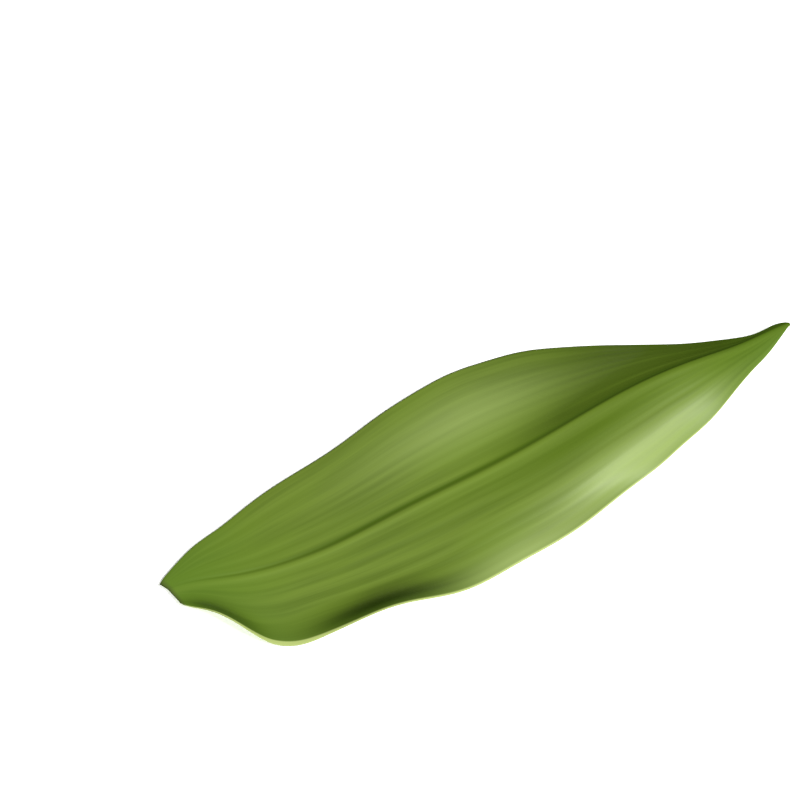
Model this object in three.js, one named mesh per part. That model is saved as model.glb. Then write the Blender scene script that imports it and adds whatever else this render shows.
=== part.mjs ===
// A broad bamboo leaf lying on a table: one thin blade that grew in one piece, with a
// keeled midrib underneath. Its base was cut from the stalk.
//
// Millimetres, +Z up. The leaf runs along X, from its cut base at -X to its tip at +X, and
// the origin is on the table under the middle of its bounding box. "along" goes from 0 at the
// cut base to 1 at the tip, and "across" from 0 at the midrib to 1 at a margin. The near half
// lies towards -Y and the far half towards +Y.

import * as THREE from 'three';

// ---- Driving dimensions ----

const LENGTH = 246;
const HALF_WIDTH = 40;        // midrib to margin at the widest place
const WIDEST_ALONG = 0.49;
const TIP_HALF_WIDTH = 0.5;
const CUT_SLANT = 1.8;        // how far the cut base leans along the leaf on each half
const THICKNESS = 0.5;
const REST_HEIGHT = 0.1;      // lowest height of the midrib before the blade lands on the table
const LANDING = 3;            // how gently the blade flattens out where it meets the table
const KEEL_DEPTH = 1.6;       // how far the midrib stands out under the base
const KEEL_TAPER = 0.6;       // share of that depth that is gone at the tip
const KEEL_FLAT = 1.3;        // midrib's centre line to the edge of its flat underside
const KEEL_FOOT = 3;          // midrib's centre line to where it runs out into the blade

// ---- How fine the solid is ----

const STEPS_ALONG = 84;
const STEPS_ACROSS = 10;      // on each half; the first two follow the keel

// ---- How the leaf lies ----
// Each hump is [place along the leaf, spread, height]; heights are in mm or degrees.

const SPINE_SWAY = [[0, 0.09, 7], [0.23, 0.12, -2.5], [0.68, 0.18, 2.2], [1, 0.12, 4]];
const SPINE_RISE = [[0.77, 0.18, 13.4], [0.84, 0.1, 2], [1, 0.06, 2.8]];

// A half blade turns steadily from its fall at the midrib to its fall at the margin. A wave
// is a swelling or furrow: [place along, spread along, place across, spread across, rise].
const FAR_HALF = {
  side: 1,
  cutWidth: 3.2,
  baseSharpness: 0.9,
  fullness: [[0.05, 0.04, 1.8], [0.17, 0.1, 3.4], [0.32, 0.07, -1], [0.52, 0.06, 1], [0.63, 0.06, 1.5],
    [0.77, 0.05, -1.5], [0.97, 0.065, -11]],
  fallAtMidrib: [[0.68, 0.13, 20], [0.88, 0.12, 38]],
  fallAtMargin: [[0.7, 0.11, 14], [0.88, 0.13, 47]],
  waves: [[0.5, 0.12, 0.5, 0.3, 1], [0.34, 0.08, 0.6, 0.25, -0.5]],
};
const NEAR_HALF = {
  side: -1,
  cutWidth: 6.5,
  baseSharpness: 0.75,
  fullness: [[0.06, 0.035, 3.5], [0.11, 0.06, 7.7], [0.2, 0.05, 1], [0.38, 0.08, 1.2], [0.48, 0.1, -3],
    [0.63, 0.1, -2.4], [0.76, 0.04, -0.8], [0.88, 0.07, -2.2]],
  fallAtMidrib: [[0.14, 0.06, 3], [0.68, 0.13, 12]],
  fallAtMargin: [[0.06, 0.04, -10], [0.14, 0.06, 6], [0.72, 0.18, 36]],
  waves: [[0.27, 0.09, 1, 0.24, 9.5], [0.05, 0.035, 1, 0.45, 4.3], [0.57, 0.12, 0.22, 0.14, -3.2],
    [0.67, 0.13, 0.6, 0.22, 3]],
};

const { degToRad, lerp, smoothstep } = THREE.MathUtils;

const hump = (place, centre, spread) => Math.exp(-(((place - centre) / spread) ** 2));

function sumOfHumps(along, humps) {
  return humps.reduce((sum, [centre, spread, height]) => sum + height * hump(along, centre, spread), 0);
}

// Midrib to margin, measured on the blade. It is full at the base and drawn out at the tip.
function bladeWidth(along, half) {
  const ends = smoothstep(along, 0, 0.1) * smoothstep(1 - along, 0, 0.1);
  const fullness = sumOfHumps(along, half.fullness) * ends;
  if (along < WIDEST_ALONG) {
    const toBase = (WIDEST_ALONG - along) / WIDEST_ALONG;
    return lerp(half.cutWidth, HALF_WIDTH, (1 - toBase ** 1.8) ** half.baseSharpness) + fullness;
  }
  const toTip = (along - WIDEST_ALONG) / (1 - WIDEST_ALONG);
  return lerp(TIP_HALF_WIDTH, HALF_WIDTH, 1 - toTip ** 1.85) + fullness;
}

// A point on the middle surface of one half of the blade.
function bladePoint(along, across, half) {
  const width = bladeWidth(along, half);
  const startFall = degToRad(sumOfHumps(along, half.fallAtMidrib));
  const endFall = degToRad(sumOfHumps(along, half.fallAtMargin));
  const halfTurn = (endFall - startFall) * across / 2;
  const fall = startFall + halfTurn;
  const chord = width * across * (1 - halfTurn ** 2 / 6);
  const wave = half.waves.reduce((sum, [centre, spread, place, spreadAcross, rise]) => (
    sum + rise * hump(along, centre, spread) * hump(across, place, spreadAcross)
  ), 0);
  const height = REST_HEIGHT + sumOfHumps(along, SPINE_RISE) - chord * Math.sin(fall)
    + wave * smoothstep(across, 0, 1);
  return new THREE.Vector3(
    LENGTH * along - CUT_SLANT * half.side * across * (1 - along) ** 6,
    sumOfHumps(along, SPINE_SWAY) + half.side * chord * Math.cos(fall),
    Math.max((height + Math.hypot(height, LANDING)) / 2, THICKNESS / 2),
  );
}

function bladeNormal(along, across, half) {
  const step = 0.001;
  const origin = bladePoint(along, across, half);
  const alongStep = along < 0.5 ? step : -step;
  const acrossStep = across < 0.5 ? step : -step;
  const edgeAlong = bladePoint(along + alongStep, across, half).sub(origin);
  const edgeAcross = bladePoint(along, across + acrossStep, half).sub(origin);
  const normal = edgeAlong.cross(edgeAcross).normalize();
  return normal.z < 0 ? normal.negate() : normal;
}

// How far across the blade one column of points lies. The first two follow the keel.
function columnAcross(step, width) {
  const flat = Math.min(KEEL_FLAT / width, 0.3);
  const foot = Math.min(KEEL_FOOT / width, 0.6);
  if (step <= 1) return flat * step;
  return lerp(foot, 1, (step - 2) / (STEPS_ACROSS - 2));
}

// The top and the underside at one place. The underside never dips below the table.
function bladeSides(along, across, half) {
  const middle = bladePoint(along, across, half);
  const normal = bladeNormal(along, across, half);
  const fromMidrib = across * bladeWidth(along, half);
  const runOut = smoothstep(fromMidrib, KEEL_FLAT, KEEL_FOOT);
  const keel = KEEL_DEPTH * (1 - KEEL_TAPER * along) * (1 - runOut);
  const top = middle.clone().addScaledVector(normal, THICKNESS / 2);
  const under = middle.clone().addScaledVector(normal, -THICKNESS / 2 - keel);
  under.z = Math.max(under.z, 0);
  return { top, under };
}

// One row of places from the near margin to the far one.
function sidesAcross(along) {
  const sides = [];
  for (let column = -STEPS_ACROSS; column <= STEPS_ACROSS; column += 1) {
    const half = column < 0 ? NEAR_HALF : FAR_HALF;
    const across = columnAcross(Math.abs(column), bladeWidth(along, half));
    sides.push(bladeSides(along, across, half));
  }
  return sides;
}

function bladeGeometry() {
  const columns = 2 * STEPS_ACROSS + 1;
  const perRow = 2 * columns;
  const positions = [];
  for (let row = 0; row <= STEPS_ALONG; row += 1) {
    const sides = sidesAcross(row / STEPS_ALONG);
    const ring = [...sides.map((side) => side.top), ...sides.map((side) => side.under).reverse()];
    ring.forEach((point) => positions.push(point.x, point.y, point.z));
  }

  // Each row is a closed ring: over the top from near to far, and back underneath.
  const faces = [];
  const quad = (a, b, c, d) => faces.push(a, b, c, a, c, d);
  for (let row = 0; row < STEPS_ALONG; row += 1) {
    for (let place = 0; place < perRow; place += 1) {
      const here = row * perRow + place;
      const next = row * perRow + ((place + 1) % perRow);
      quad(here, here + perRow, next + perRow, next);
    }
  }
  const tipRow = STEPS_ALONG * perRow;
  for (let column = 0; column < columns - 1; column += 1) {
    const opposite = perRow - 1 - column;
    quad(column, column + 1, opposite - 1, opposite);
    quad(tipRow + column, tipRow + opposite, tipRow + opposite - 1, tipRow + column + 1);
  }

  const geometry = new THREE.BufferGeometry();
  geometry.setAttribute('position', new THREE.Float32BufferAttribute(positions, 3));
  geometry.setIndex(faces);
  geometry.computeVertexNormals();
  return geometry;
}

function standOnOrigin(geometry) {
  geometry.computeBoundingBox();
  const { min, max } = geometry.boundingBox;
  geometry.translate(-(min.x + max.x) / 2, -(min.y + max.y) / 2, -min.z);
  return geometry;
}

const leafGreen = new THREE.MeshStandardMaterial({ color: 0x76893f, roughness: 0.45, metalness: 0 });
const leaf = new THREE.Mesh(standOnOrigin(bladeGeometry()), leafGreen);
leaf.name = 'leaf';

const bambooLeaf = new THREE.Group();
bambooLeaf.name = 'bamboo_leaf';
bambooLeaf.add(leaf);

export default bambooLeaf;
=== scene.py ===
"""A bamboo leaf lying on a white table, for Blender 4.5.

The blade is one closed skin made by a Geometry Nodes tree. It starts as a tube: its length becomes
the way along the leaf, and its circumference goes over the top from the far margin to the near one
and back along the underside. The tree lays the tube flat in the shape of the blade, then adds the
thickness, the midrib and the veins.

In the tree, lengths are in millimetres. "along" goes from 0 at the cut base to 1 at the tip.
"across" goes from -1 at the near margin, through 0 at the midrib, to 1 at the far margin.
"""

import math

import bpy
import numpy as np
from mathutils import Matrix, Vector


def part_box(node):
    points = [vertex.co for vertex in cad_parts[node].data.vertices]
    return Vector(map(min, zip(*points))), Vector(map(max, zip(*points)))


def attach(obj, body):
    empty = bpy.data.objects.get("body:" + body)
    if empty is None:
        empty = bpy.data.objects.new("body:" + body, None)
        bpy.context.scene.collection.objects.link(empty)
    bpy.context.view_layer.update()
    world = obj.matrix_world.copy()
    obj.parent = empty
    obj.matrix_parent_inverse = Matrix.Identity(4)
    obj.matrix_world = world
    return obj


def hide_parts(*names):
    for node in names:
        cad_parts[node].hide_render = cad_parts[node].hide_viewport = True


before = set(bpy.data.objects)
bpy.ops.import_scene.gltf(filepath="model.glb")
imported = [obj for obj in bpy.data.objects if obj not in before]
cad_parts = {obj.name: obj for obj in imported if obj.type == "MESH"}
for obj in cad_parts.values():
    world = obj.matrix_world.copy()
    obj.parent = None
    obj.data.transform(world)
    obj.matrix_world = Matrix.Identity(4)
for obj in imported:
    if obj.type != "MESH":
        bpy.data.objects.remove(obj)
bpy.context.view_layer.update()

METRES_PER_MM = 0.001

# ---- Sizes of the blade ----

BLADE_SIZES = {
    "Length": 246.0,
    "Half Width": 40.0,
    "Widest Along": 0.49,
    "Tip Half Width": 0.5,
    "Cut Slant": 1.8,
    "Thickness": 0.5,
    "Rest Height": 0.1,
    "Landing": 3.0,
    "Keel Depth": 1.6,
    "Keel Taper": 0.6,
    "Keel Flat": 1.3,
    "Keel Foot": 3.0,
    "Groove Depth": 0.18,
    "Rib Height": 0.12,
    "Veins Each Half": 11.0,
    "Vein Height": 0.02,
    "Ripple Height": 0.6,
}
STEPS_ALONG = 240
STEPS_ROUND = 360

# How fully the outline bows out before and after its widest place, as powers.
BASE_BOW = 1.8
TIP_BOW = 1.85
# The outline's own humps fade out over this share of the length at each end.
OUTLINE_ENDS = 0.1
# The slant of the cut dies out along the leaf, and the margin's edge is nearly square, as powers.
SLANT_FADE = 6
EDGE_SQUARENESS = 12
# Where the groove and the low rib beside it lie: (distance from the midrib, spread), in mm.
GROOVE_PLACE = (0.7, 0.65)
RIB_PLACE = (-1.5, 1.2)
# How fast the ripples change along and across the blade, and which stretch of the noise they use.
RIPPLES_ALONG = 2.2
RIPPLES_ACROSS = 5
RIPPLE_START = 3.7

# Each hump is (place along the leaf, spread, height). Heights are in mm or degrees.
SPINE_SWAY = [(0, 0.09, 7), (0.23, 0.12, -2.5), (0.68, 0.18, 2.2), (1, 0.12, 4)]
SPINE_RISE = [(0.77, 0.18, 13.4), (0.84, 0.1, 2), (1, 0.06, 2.8)]

# A half blade turns steadily from its fall at the midrib to its fall at the margin. Each wave is
# a spot that swells up or dips: (place along, spread along, place across, spread across, rise).
FAR_HALF = {
    "side": 1,
    "cut_width": 3.2,
    "base_sharpness": 0.9,
    "fullness": [(0.05, 0.04, 1.8), (0.17, 0.1, 3.4), (0.32, 0.07, -1), (0.52, 0.06, 1),
                 (0.63, 0.06, 1.5), (0.77, 0.05, -1.5), (0.97, 0.065, -11)],
    "fall_at_midrib": [(0.68, 0.13, 20), (0.88, 0.12, 38)],
    "fall_at_margin": [(0.7, 0.11, 14), (0.88, 0.13, 47)],
    "waves": [(0.5, 0.12, 0.5, 0.3, 1), (0.34, 0.08, 0.6, 0.25, -0.5)],
}
NEAR_HALF = {
    "side": -1,
    "cut_width": 6.5,
    "base_sharpness": 0.75,
    "fullness": [(0.06, 0.035, 3.5), (0.11, 0.06, 7.7), (0.2, 0.05, 1), (0.38, 0.08, 1.2),
                 (0.48, 0.1, -3), (0.63, 0.1, -2.4), (0.76, 0.04, -0.8), (0.88, 0.07, -2.2)],
    "fall_at_midrib": [(0.14, 0.06, 3), (0.68, 0.13, 12)],
    "fall_at_margin": [(0.06, 0.04, -10), (0.14, 0.06, 6), (0.72, 0.18, 36)],
    "waves": [(0.27, 0.09, 1, 0.24, 9.5), (0.05, 0.035, 1, 0.45, 4.3), (0.57, 0.12, 0.22, 0.14, -3.2),
              (0.67, 0.13, 0.6, 0.22, 3)],
}


# ---- Colours of the leaf ----

BLADE_COLOUR = "#4c5f18"
# Each layer of colour is (tint, strength). They are laid over the blade's colour in this order.
COLOUR_LAYERS = {
    "stripes": ("#5e7224", 1.0),
    "patches": ("#5c731c", 0.5),
    "threads": ("#6b822d", 0.12),
    "ends": ("#486812", 0.6),
    # Painted shade in the crease along the midrib.
    "crease_shade": ("#2c400a", 0.75),
    "rib": ("#768c34", 0.15),
    # Painted shade where the blade turns away from the lights.
    "turned_away_shade": ("#2f420f", 0.5),
    # Painted shade in the hollow of the curled near margin and in the furrows of the near half.
    "hollow_shade": ("#263a0e", 1.0),
    # Painted sheen where the blade faces the lights.
    "painted_sheen": ("#9bab6c", 1.0),
    # The margin's paler colour with a painted highlight on the near edge.
    "rim_and_edge_highlight": ("#9ba863", 0.9),
    "cut": ("#3f4a1e", 0.7),
}
UNDERSIDE_DARK = "#93a866"
UNDERSIDE_PALE = "#a9ba80"

# Bands along the midrib: (distance from the midrib, spread), in mm. The crease band and the midrib
# shade are painted shade.
CREASE_SHADE_PLACE = (0.9, 1.1)
RIB_COLOUR_PLACE = (-1.6, 1.3)
MIDRIB_SHADE_PLACE = (3.0, 6)

# Each spot is (place along, spread along, place across, spread across, amount). Painted shade darkens
# the hollows beside the curled near margin and the furrows in the near half. The painted sheen is
# paler.
CURL_SHADE_SPOTS = [(0.25, 0.14, -0.9, 0.17, 1), (0.05, 0.04, -0.82, 0.2, 0.6)]
CURL_SHADE_STRENGTH = 0.8
FURROW_SHADE_SPOTS = [(0.62, 0.2, -0.22, 0.15, 1), (0.89, 0.07, -0.65, 0.4, 0.6)]
FURROW_SHADE_STRENGTH = 0.45
SHEEN_SPOTS = [(0.5, 0.16, 0.55, 0.25, 0.3), (0.68, 0.15, -0.74, 0.26, 0.36),
              (0.46, 0.1, -0.95, 0.16, 0.36)]

# The pale rim takes up a share RIM of the near half's width, and WIDE_RIM more of it round
# WIDE_RIM_PLACE, which is (place along, spread along). It is the margin's own paler colour together
# with a painted highlight, laid on the near margin only, where the curled edge catches the light.
RIM = 0.028
WIDE_RIM = 0.05
WIDE_RIM_PLACE = (0.08, 0.09)
# The dried colour of the cut ends here along the leaf.
CUT_COLOUR_END = 0.01
# How much the open parts of the blade shine. The folds don't.
OPEN_SHINE = 0.3

# ---- Table, lights and camera ----

TABLE_HALF = 3.0
TABLE_GREY = 0.9
TABLE_ROUGHNESS = 0.9
TABLE_GLOW = 0.35
SKY_STRENGTH = 0.1
CAMERA_AIM = (-0.0176, 0.0375, 0.003)


# ---- Arithmetic in node trees ----

class Term:
    """A number worked out by a tree's Math nodes, so that a formula reads as plain arithmetic."""

    def __init__(self, tree, socket):
        self.tree = tree
        self.socket = socket

    def work(self, operation, *others):
        node = self.tree.nodes.new("ShaderNodeMath")
        node.operation = operation
        for entry, value in zip(node.inputs, (self, *others)):
            plug(self.tree, value, entry)
        return Term(self.tree, node.outputs[0])

    def __add__(self, other):
        return self.work("ADD", other)

    def __mul__(self, other):
        return self.work("MULTIPLY", other)

    def __sub__(self, other):
        return self.work("SUBTRACT", other)

    def __rsub__(self, other):
        return self * -1 + other

    def __truediv__(self, other):
        return self.work("DIVIDE", other)

    def __pow__(self, power):
        return self.work("POWER", power)

    def __lt__(self, other):
        return self.work("LESS_THAN", other)

    def __gt__(self, other):
        return self.work("GREATER_THAN", other)

    def clamped(self, low=0.0, high=1.0):
        return self.work("MAXIMUM", low).work("MINIMUM", high)

    __radd__ = __add__
    __rmul__ = __mul__


def plug(tree, value, entry):
    """Feeds a node's entry with a term, a socket or a plain value."""
    if isinstance(value, Term):
        value = value.socket
    if isinstance(value, bpy.types.NodeSocket):
        tree.links.new(value, entry)
    else:
        entry.default_value = value


def add_node(tree, kind, settings=None, **entries):
    """A new node with its settings made and its entries, named with _ for a space, fed."""
    node = tree.nodes.new(kind)
    for name, value in (settings or {}).items():
        setattr(node, name, value)
    for name, value in entries.items():
        plug(tree, value, node.inputs[name.replace("_", " ")])
    return node


def split(tree, vector):
    parts = add_node(tree, "ShaderNodeSeparateXYZ", Vector=vector)
    return [Term(tree, part) for part in parts.outputs]


def join(tree, x, y, z):
    return add_node(tree, "ShaderNodeCombineXYZ", X=x, Y=y, Z=z).outputs[0]


def mix(start, end, share):
    return start + (end - start) * share


def smooth_step(value, low, high):
    share = ((value - low) / (high - low)).clamped()
    return share * share * (3 - share * 2)


def hump(place, centre, spread):
    distance = (place - centre) / spread
    return (distance * distance * -1).work("EXPONENT")


def sum_of_humps(place, humps):
    terms = [hump(place, centre, spread) * height for centre, spread, height in humps]
    return sum(terms[1:], terms[0])


def sum_of_spots(along, across, spots):
    terms = [hump(along, centre, spread) * hump(across, place, spread_across) * amount
             for centre, spread, place, spread_across, amount in spots]
    return sum(terms[1:], terms[0])


def noise(tree, vector, detail=2.0, roughness=0.5):
    """Smooth noise round 0.5, on a vector that is already scaled."""
    node = add_node(tree, "ShaderNodeTexNoise", Vector=vector, Scale=1.0, Detail=detail,
                    Roughness=roughness)
    return Term(tree, node.outputs[0])


def scaled(tree, vector, scale):
    node = add_node(tree, "ShaderNodeVectorMath", {"operation": "SCALE"}, Vector=vector, Scale=scale)
    return node.outputs[0]


# ---- The blade ----

def half_width(along, half, size):
    """Midrib to margin, measured on the blade. It is full at the base and drawn out at the tip."""
    to_base = ((size["Widest Along"] - along) / size["Widest Along"]).clamped()
    to_tip = ((along - size["Widest Along"]) / (1 - size["Widest Along"])).clamped()
    fullness_at_base = (1 - to_base ** BASE_BOW).clamped() ** half["base_sharpness"]
    base = mix(half["cut_width"], size["Half Width"], fullness_at_base)
    tip = mix(size["Tip Half Width"], size["Half Width"], 1 - to_tip ** TIP_BOW)
    ends = smooth_step(along, 0, OUTLINE_ENDS) * smooth_step(1 - along, 0, OUTLINE_ENDS)
    at_base = along < size["Widest Along"]
    return mix(tip, base, at_base) + sum_of_humps(along, half["fullness"]) * ends


def half_blade(along, across, half, size):
    """How far one half reaches sideways from the midrib, how far it drops, and its width."""
    width = half_width(along, half, size)
    start_fall = sum_of_humps(along, half["fall_at_midrib"]).work("RADIANS")
    end_fall = sum_of_humps(along, half["fall_at_margin"]).work("RADIANS")
    half_turn = (end_fall - start_fall) * across * 0.5
    mean_fall = start_fall + half_turn
    chord = width * across * (1 - half_turn * half_turn / 6)
    wave = sum_of_spots(along, across, half["waves"]) * smooth_step(across, 0, 1)
    reach = chord * mean_fall.work("COSINE") * half["side"]
    drop = chord * mean_fall.work("SINE") - wave
    return reach, drop, width


def set_position(tree, geometry, **entries):
    return add_node(tree, "GeometryNodeSetPosition", Geometry=geometry, **entries).outputs[0]


def store(tree, geometry, name, value, kind):
    return add_node(tree, "GeometryNodeStoreNamedAttribute", {"data_type": kind, "domain": "POINT"},
                    Geometry=geometry, Name=name, Value=value).outputs[0]


def read(tree, name, kind):
    return add_node(tree, "GeometryNodeInputNamedAttribute", {"data_type": kind}, Name=name).outputs[0]


def tube(tree):
    """A closed tube with place = (along, across, 1 on top and -1 underneath) stored on it."""
    cylinder = add_node(tree, "GeometryNodeMeshCylinder", {"fill_type": "NGON"}, Vertices=STEPS_ROUND,
                        Side_Segments=STEPS_ALONG, Radius=1.0, Depth=1.0)
    x, y, z = split(tree, add_node(tree, "GeometryNodeInputPosition").outputs[0])
    turn = y.work("ARCTAN2", x) / math.pi
    across = 1 - turn.work("ABSOLUTE") * 2
    place = join(tree, z + 0.5, across, turn.work("SIGN"))
    return store(tree, cylinder.outputs["Mesh"], "place", place, "FLOAT_VECTOR")


def blade_tree():
    """The tree that shapes the whole leaf from the sizes in its inputs."""
    tree = bpy.data.node_groups.new("leaf_blade", "GeometryNodeTree")
    tree.interface.new_socket("Geometry", in_out="OUTPUT", socket_type="NodeSocketGeometry")
    for name in BLADE_SIZES:
        tree.interface.new_socket(name, in_out="INPUT", socket_type="NodeSocketFloat")
    tree.interface.new_socket("Skin", in_out="INPUT", socket_type="NodeSocketMaterial")
    given = tree.nodes.new("NodeGroupInput")
    size = {name: Term(tree, given.outputs[name]) for name in BLADE_SIZES}

    skin = tube(tree)
    along, across, side = split(tree, read(tree, "place", "FLOAT_VECTOR"))
    outward = across.work("ABSOLUTE")
    far = half_blade(along, outward, FAR_HALF, size)
    near = half_blade(along, outward, NEAR_HALF, size)
    reach, drop, width = (
        mix(near_term, far_term, across > 0) for near_term, far_term in zip(near, far))

    # Long soft ripples follow the veins. They fade out at the midrib and the ends.
    ripple_place = join(tree, along * RIPPLES_ALONG, across * RIPPLES_ACROSS, RIPPLE_START)
    fade = smooth_step(outward, 0.03, 0.25)
    fade = fade * smooth_step(along, 0, 0.15) * smooth_step(1 - along, 0, 0.2)
    ripple = (noise(tree, ripple_place, detail=1.0) - 0.5) * size["Ripple Height"] * fade

    # The blade levels out softly as it comes down to the table.
    height = size["Rest Height"] + sum_of_humps(along, SPINE_RISE) - drop + ripple
    landed = (height + (height * height + size["Landing"] ** 2).work("SQRT")) / 2
    middle = join(
        tree,
        size["Length"] * along - size["Cut Slant"] * across * (1 - along) ** SLANT_FADE,
        sum_of_humps(along, SPINE_SWAY) + reach,
        landed.work("MAXIMUM", size["Thickness"] / 2),
    )
    skin = store(tree, skin, "from_midrib", across * width, "FLOAT")
    skin = set_position(tree, skin, Position=middle)

    # Thickness, veins and midrib, outwards from the middle of the blade.
    from_midrib = Term(tree, read(tree, "from_midrib", "FLOAT"))
    on_top = side > 0
    rounding = (1 - outward ** EDGE_SQUARENESS).clamped().work("SQRT")
    vein = (across * size["Veins Each Half"] * math.tau).work("COSINE") * size["Vein Height"]
    vein = vein * smooth_step(outward, 0.06, 0.16)
    vein = vein * smooth_step(along, 0.1, 0.4) * smooth_step(1 - along, 0.05, 0.3)
    groove = hump(from_midrib, *GROOVE_PLACE) * size["Groove Depth"]
    rib = hump(from_midrib, *RIB_PLACE) * size["Rib Height"]
    rib_fade = smooth_step(along, 0, 0.12) * smooth_step(1 - along, 0, 0.12)
    midrib_top = (rib - groove) * rib_fade
    run_out = smooth_step(from_midrib.work("ABSOLUTE"), size["Keel Flat"], size["Keel Foot"])
    keel = size["Keel Depth"] * (1 - size["Keel Taper"] * along) * (1 - run_out)
    relief = mix(keel, midrib_top, on_top) + vein
    normal = add_node(tree, "GeometryNodeInputNormal").outputs[0]
    skin = set_position(
        tree, skin, Offset=scaled(tree, normal, (size["Thickness"] / 2 + relief) * rounding))

    # Nothing dips into the table. Then the lengths become metres.
    x, y, z = split(tree, add_node(tree, "GeometryNodeInputPosition").outputs[0])
    pressed = join(tree, x, y, z.work("MAXIMUM", 0.0))
    skin = set_position(tree, skin, Position=scaled(tree, pressed, METRES_PER_MM))
    skin = add_node(tree, "GeometryNodeSetShadeSmooth", Geometry=skin).outputs[0]
    skin = add_node(tree, "GeometryNodeRealizeInstances", Geometry=skin).outputs[0]
    skin = add_node(tree, "GeometryNodeSetMaterial", Geometry=skin,
                    Material=given.outputs["Skin"]).outputs[0]
    tree.links.new(skin, tree.nodes.new("NodeGroupOutput").inputs[0])
    return tree


def grow(name, tree, settings):
    """Runs a tree with its named settings and returns its result as a plain mesh object."""
    seed = bpy.data.objects.new(name + "_seed", bpy.data.meshes.new(name + "_seed"))
    bpy.context.scene.collection.objects.link(seed)
    modifier = seed.modifiers.new("shape", "NODES")
    modifier.node_group = tree
    for entry in tree.interface.items_tree:
        if entry.in_out == "INPUT":
            modifier[entry.identifier] = settings[entry.name]
    depsgraph = bpy.context.evaluated_depsgraph_get()
    mesh = bpy.data.meshes.new_from_object(
        seed.evaluated_get(depsgraph), preserve_all_data_layers=True, depsgraph=depsgraph)
    mesh.name = name
    bpy.data.objects.remove(seed)
    piece = bpy.data.objects.new(name, mesh)
    bpy.context.scene.collection.objects.link(piece)
    return piece


def lay_on(piece, node):
    """Moves a piece's points so that it stands centred where the CAD node stands."""
    low, high = (np.array(corner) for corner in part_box(node))
    mesh = piece.data
    points = np.empty(len(mesh.vertices) * 3, dtype=np.float32)
    mesh.vertices.foreach_get("co", points)
    points = points.reshape(-1, 3)
    mine_low, mine_high = points.min(axis=0), points.max(axis=0)
    shift = (low + high - mine_low - mine_high) / 2
    shift[2] = low[2] - mine_low[2]
    mesh.vertices.foreach_set("co", (points + shift).astype(np.float32).ravel())
    mesh.update()


# ---- Materials ----

def tint(hex_colour):
    """A hex colour as the linear light values that Blender's colour sockets take."""
    parts = [int(hex_colour[start:start + 2], 16) / 255 for start in (1, 3, 5)]
    linear = [part / 12.92 if part <= 0.04045 else ((part + 0.055) / 1.055) ** 2.4 for part in parts]
    return (*linear, 1.0)


def blend_colour(tree, start, end, share):
    node = tree.nodes.new("ShaderNodeMix")
    node.data_type = "RGBA"
    plug(tree, share, node.inputs["Factor"])
    plug(tree, start, node.inputs[6])
    plug(tree, end, node.inputs[7])
    return node.outputs[2]


def new_material(name):
    material = bpy.data.materials.new(name)
    material.use_nodes = True
    return material, material.node_tree, material.node_tree.nodes["Principled BSDF"]


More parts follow.
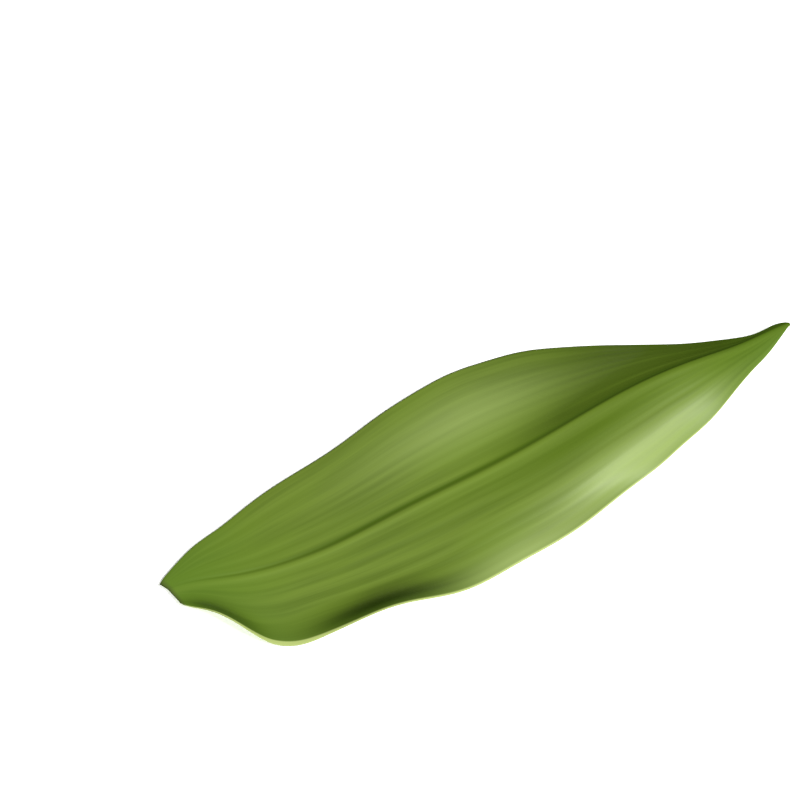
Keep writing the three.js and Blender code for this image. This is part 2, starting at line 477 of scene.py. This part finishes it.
def leaf_skin():
    """Green blade with paler stripes along its veins, a pale margin and a paler underside. Painted
    shade darkens its crease, hollows and the parts turned away from the lights; a painted sheen and a
    painted highlight on the near edge make it paler.
    """
    material, tree, shader = new_material("leaf_skin")
    place = add_node(tree, "ShaderNodeAttribute", {"attribute_name": "place"}).outputs["Vector"]
    along, across, side = split(tree, place)
    distance = add_node(tree, "ShaderNodeAttribute", {"attribute_name": "from_midrib"})
    from_midrib = Term(tree, distance.outputs["Fac"])
    outward = across.work("ABSOLUTE")

    stripes = noise(tree, join(tree, along * 2.5, across * 10, 0.0), detail=3.0, roughness=0.55)
    threads = noise(tree, join(tree, along * 7, across * 85, 5.0), detail=2.0)
    patches = noise(tree, join(tree, along * 5, across * 1.6, 9.0), detail=2.0)

    # Painted shade: a dark band in the crease on the far side of the midrib.
    crease_shade = hump(from_midrib, *CREASE_SHADE_PLACE) * smooth_step(along, 0.02, 0.3)
    # Painted shade: the far half towards the tip and a strip beside the midrib, which turn away from
    # the lights, are darkened.
    far_tip_shade = smooth_step(along, 0.48, 0.8) * smooth_step(across, 0.0, 0.15)
    midrib_side_shade = hump(from_midrib, *MIDRIB_SHADE_PLACE) * smooth_step(along, 0.4, 0.75)
    turned_away_shade = (midrib_side_shade + far_tip_shade).clamped()
    # Painted shade in the hollow inside the curled near margin and in the furrows of the near half.
    curl_shade = sum_of_spots(along, across, CURL_SHADE_SPOTS)
    furrow_shade = sum_of_spots(along, across, FURROW_SHADE_SPOTS)
    # Pale rim on the near margin only: the margin's own colour plus a painted highlight where the
    # curled edge catches the light.
    rim_width = hump(along, *WIDE_RIM_PLACE) * WIDE_RIM + RIM
    rim_and_edge_highlight = smooth_step(outward - 1 + rim_width, 0.0, 0.02) * smooth_step(across * -1, 0.0, 0.5)
    shares = {
        "stripes": smooth_step(stripes, 0.25, 0.75),
        "patches": smooth_step(patches, 0.35, 0.65),
        "threads": smooth_step(threads, 0.5, 0.75),
        "ends": (hump(along, 0, 0.12) + hump(along, 1, 0.14)).clamped(),
        "crease_shade": crease_shade,
        "rib": hump(from_midrib, *RIB_COLOUR_PLACE),
        "turned_away_shade": turned_away_shade,
        "hollow_shade": curl_shade * CURL_SHADE_STRENGTH + furrow_shade * FURROW_SHADE_STRENGTH,
        # Painted sheen: pale spots where the blade catches the lights.
        "painted_sheen": sum_of_spots(along, across, SHEEN_SPOTS).clamped(),
        "rim_and_edge_highlight": rim_and_edge_highlight,
        "cut": smooth_step(CUT_COLOUR_END - along, 0.0, 0.008),
    }
    colour = tint(BLADE_COLOUR)
    for name, (hex_colour, strength) in COLOUR_LAYERS.items():
        colour = blend_colour(tree, colour, tint(hex_colour), shares[name] * strength)
    underside = blend_colour(
        tree, tint(UNDERSIDE_DARK), tint(UNDERSIDE_PALE), smooth_step(stripes, 0.3, 0.7))
    colour = blend_colour(tree, underside, colour, smooth_step(side, -0.2, 0.2))
    plug(tree, colour, shader.inputs["Base Color"])

    plug(tree, stripes * 0.08 + 0.46, shader.inputs["Roughness"])
    folds = (turned_away_shade + curl_shade + furrow_shade + crease_shade).clamped()
    plug(tree, (1 - folds) * OPEN_SHINE, shader.inputs["Specular IOR Level"])
    bump = add_node(tree, "ShaderNodeBump", Height=threads, Strength=0.06, Distance=0.0002)
    plug(tree, bump.outputs[0], shader.inputs["Normal"])
    return material


def table_white():
    material, _, shader = new_material("table_white")
    shader.inputs["Base Color"].default_value = (TABLE_GREY, TABLE_GREY, TABLE_GREY, 1)
    shader.inputs["Roughness"].default_value = TABLE_ROUGHNESS
    shader.inputs["Emission Color"].default_value = (1, 1, 1, 1)
    shader.inputs["Emission Strength"].default_value = TABLE_GLOW
    return material


# ---- Lights and camera ----

def direction(azimuth, elevation):
    """Unit vector towards a place seen at that azimuth and elevation, in degrees."""
    turn, tilt = math.radians(azimuth), math.radians(elevation)
    return Vector((math.sin(turn) * math.cos(tilt), -math.cos(turn) * math.cos(tilt), math.sin(tilt)))


def place_facing(thing, target, azimuth, elevation, distance):
    towards = direction(azimuth, elevation)
    thing.location = target + towards * distance
    thing.rotation_euler = towards.to_track_quat("Z", "Y").to_euler()
    bpy.context.scene.collection.objects.link(thing)


def soft_light(name, azimuth, elevation, distance, width, power):
    lamp = bpy.data.lights.new(name, "AREA")
    lamp.shape = "SQUARE"
    lamp.size = width
    lamp.energy = power
    place_facing(bpy.data.objects.new(name, lamp), Vector((0, 0, 0)), azimuth, elevation, distance)


def camera_at(azimuth, elevation, distance, aim, lens):
    data = bpy.data.cameras.new("camera")
    data.lens = lens
    camera = bpy.data.objects.new("camera", data)
    place_facing(camera, aim, azimuth, elevation, distance)
    bpy.context.scene.camera = camera


# ---- The scene ----

leaf = grow("bamboo_leaf", blade_tree(), {**BLADE_SIZES, "Skin": leaf_skin()})
lay_on(leaf, "leaf")
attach(leaf, "root")
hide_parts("leaf")

floor_mesh = bpy.data.meshes.new("table")
floor_corners = [(-TABLE_HALF, -TABLE_HALF, 0), (TABLE_HALF, -TABLE_HALF, 0),
                 (TABLE_HALF, TABLE_HALF, 0), (-TABLE_HALF, TABLE_HALF, 0)]
floor_mesh.from_pydata(floor_corners, [], [(0, 1, 2, 3)])
floor = bpy.data.objects.new("table", floor_mesh)
floor_mesh.materials.append(table_white())
bpy.context.scene.collection.objects.link(floor)

soft_light("key_light", azimuth=40, elevation=54, distance=1.2, width=0.55, power=23.0)
soft_light("front_light", azimuth=-26, elevation=35, distance=1.2, width=0.5, power=9.0)
camera_at(azimuth=-26, elevation=60, distance=0.8, aim=Vector(CAMERA_AIM), lens=100)

world = bpy.data.worlds.new("studio")
world.use_nodes = True
world.node_tree.nodes["Background"].inputs["Color"].default_value = (1, 1, 1, 1)
world.node_tree.nodes["Background"].inputs["Strength"].default_value = SKY_STRENGTH
bpy.context.scene.world = world
bpy.context.scene.view_settings.view_transform = "Standard"
